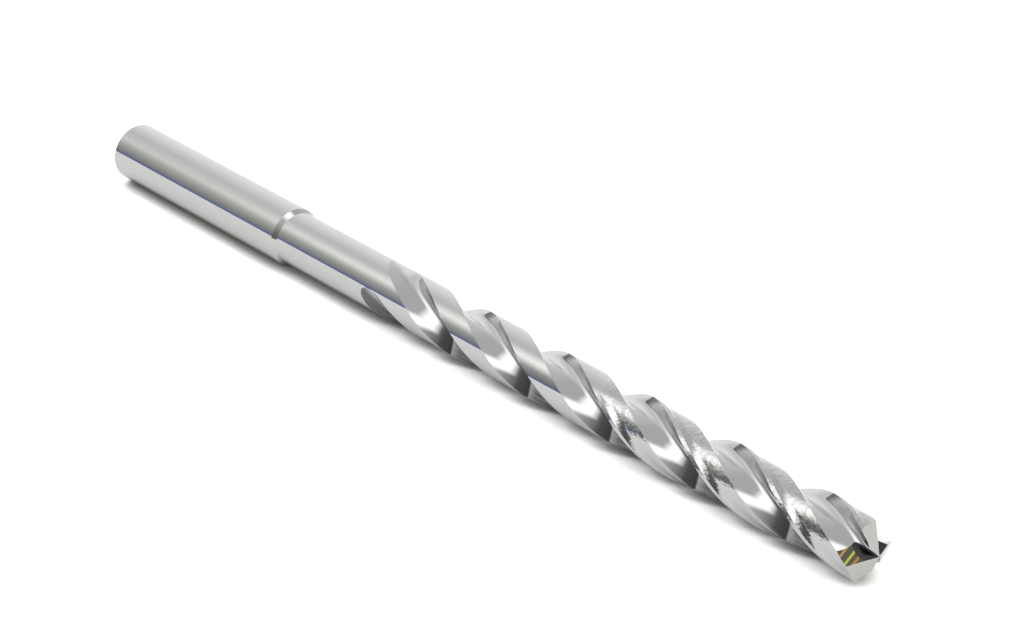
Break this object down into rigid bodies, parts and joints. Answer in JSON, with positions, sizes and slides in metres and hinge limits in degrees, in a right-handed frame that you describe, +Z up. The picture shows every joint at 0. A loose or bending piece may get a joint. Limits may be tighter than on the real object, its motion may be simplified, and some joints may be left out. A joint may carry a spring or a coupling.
{
  "type": "carbide drill bit",
  "caption": "Long solid carbide twist drill with a plain cylindrical shank, a slimmer neck, helical flutes and a ground, gashed point; it cuts round holes in metal.",
  "frame": {"origin": "on the drill's axis where the shank ends and the neck begins, at the holder's nose", "axes": "+X along the drill's axis towards its cutting point, +Z up; the shank runs from the origin towards -X"},
  "size_m": [0.1395, 0.008, 0.008],
  "materials": {
    "carbide": "polished"
  },
  "bodies": {
    "root": {"drill_bit": "carbide"}
  },
  "joints": []
}
